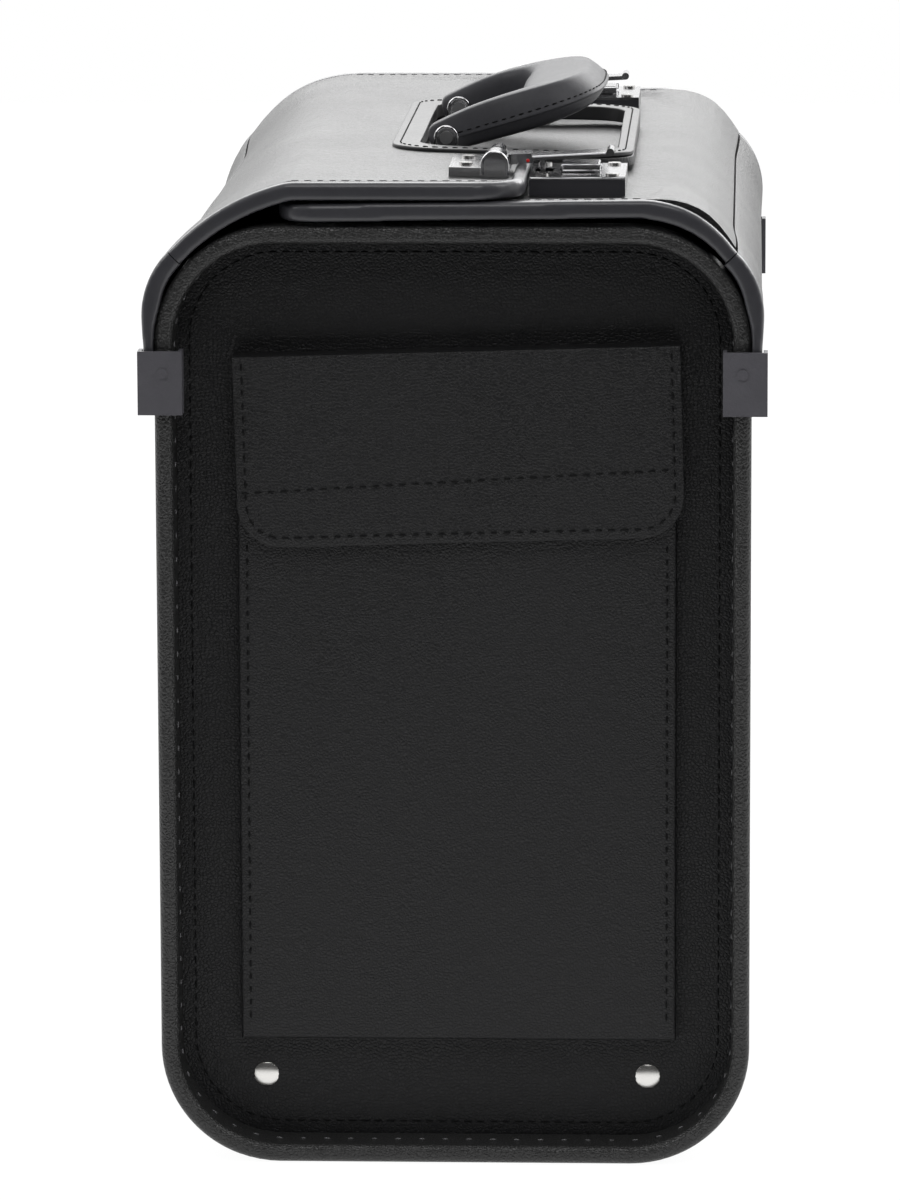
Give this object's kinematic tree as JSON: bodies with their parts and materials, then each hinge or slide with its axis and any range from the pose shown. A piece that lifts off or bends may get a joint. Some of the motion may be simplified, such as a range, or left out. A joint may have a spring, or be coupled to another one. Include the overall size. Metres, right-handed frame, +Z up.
{
  "type": "pilot case",
  "caption": "Black leatherette pilot case with overlapping hinged top flaps, hasp locks, folding handle and an end pocket with a flap.",
  "frame": {"origin": "bottom centre of the case, where it stands", "axes": "+X across the case towards the inner flap side, +Y along the case away from the pocket end, +Z up"},
  "size_m": [0.24, 0.4568, 0.408],
  "materials": {
    "vinyl": "grained black vinyl",
    "pocket_vinyl": "smooth black vinyl",
    "rim_vinyl": "pebbled black vinyl",
    "piping": "smooth glossy black vinyl tube",
    "frame_leather": "smooth black leatherette",
    "handle_leather": "polished black leatherette",
    "board": "fibreboard",
    "lining_fabric": "woven lining",
    "pad_fabric": "hook and loop pad",
    "clip_plastic": "moulded clip",
    "lock_black": "gloss black",
    "dark_metal": "dark enamel",
    "chrome": "polished",
    "nickel": "polished nickel",
    "steel": "plain"
  },
  "bodies": {
    "root": {"body_wrap": "vinyl", "bottom_board": "board", "lining": "lining_fabric", "divider": "lining_fabric", "left_hinge_strip": "vinyl", "right_hinge_strip": "vinyl", "left_strip_bindings": "piping", "right_strip_bindings": "piping", "clip_rivets": "dark_metal", "pocket_body": "pocket_vinyl", "pocket_hem": "pocket_vinyl", "pocket_hook_pad": "pad_fabric", "front_hoop": "dark_metal", "front_end_panel": "vinyl", "front_rim_binding": "rim_vinyl", "front_bottom_angle": "steel", "front_panel_rivets": "nickel", "front_flap_clips": "clip_plastic", "rear_hoop": "dark_metal", "rear_end_panel": "vinyl", "rear_rim_binding": "rim_vinyl", "rear_bottom_angle": "steel", "rear_panel_rivets": "nickel", "rear_flap_clips": "clip_plastic"},
    "outer_flap": {"outer_flap_panel": "vinyl", "outer_flap_binding": "piping", "slot_frame": "frame_leather", "hasp_base_screws": "nickel", "front_hasp_base": "chrome", "front_hasp_pin": "steel", "rear_hasp_base": "chrome", "rear_hasp_pin": "steel"},
    "inner_flap": {"inner_flap_panel": "vinyl", "inner_flap_binding": "piping", "handle_plate": "steel", "bracket_rivets": "nickel", "handle_pins": "steel", "lock_screws": "nickel", "front_handle_bracket": "chrome", "front_lock_case": "lock_black", "front_lock_plate": "chrome", "front_lock_spring": "steel", "rear_handle_bracket": "chrome", "rear_lock_case": "lock_black", "rear_lock_plate": "chrome", "rear_lock_spring": "steel"},
    "handle": {"handle_grip": "handle_leather"},
    "front_hasp": {"front_hasp_arm": "chrome"},
    "rear_hasp": {"rear_hasp_arm": "chrome"},
    "front_slider": {"front_lock_slider": "chrome"},
    "rear_slider": {"rear_lock_slider": "chrome"},
    "pocket_flap": {"pocket_flap": "pocket_vinyl", "pocket_loop_pad": "pad_fabric"}
  },
  "joints": [
    {"name": "outer_flap_hinge", "type": "hinge", "parent": "root", "child": "outer_flap", "pos_m": [-0.1085, 0, 0.35635], "axis": [0, -1, 0], "range_deg": [0, 175]},
    {"name": "inner_flap_hinge", "type": "hinge", "parent": "root", "child": "inner_flap", "pos_m": [0.1085, 0, 0.35635], "axis": [0, 1, 0], "range_deg": [0, 35]},
    {"name": "handle_pivot", "type": "hinge", "parent": "inner_flap", "child": "handle", "pos_m": [-0.009, 0, 0.3837], "axis": [0, -1, 0], "range_deg": [0, 74]},
    {"name": "front_hasp_hinge", "type": "hinge", "parent": "outer_flap", "child": "front_hasp", "pos_m": [0.01485, -0.158, 0.38516], "axis": [0, -1, 0], "range_deg": [-3, 170]},
    {"name": "rear_hasp_hinge", "type": "hinge", "parent": "outer_flap", "child": "rear_hasp", "pos_m": [0.01485, 0.158, 0.38516], "axis": [0, -1, 0], "range_deg": [-3, 170]},
    {"name": "front_lock_slide", "type": "slide", "parent": "inner_flap", "child": "front_slider", "axis": [-1, 0, 0], "range_m": [0, 0.0055]},
    {"name": "rear_lock_slide", "type": "slide", "parent": "inner_flap", "child": "rear_slider", "axis": [-1, 0, 0], "range_m": [0, 0.0055]},
    {"name": "pocket_flap_hinge", "type": "hinge", "parent": "root", "child": "pocket_flap", "pos_m": [0.001, -0.2148, 0.3173], "axis": [-0.9996, 0, -0.0279], "range_deg": [0, 150]}
  ],
  "couplings": [
    {"joint": "inner_flap_hinge", "follows": "outer_flap_hinge", "ratio": 0.2}
  ]
}
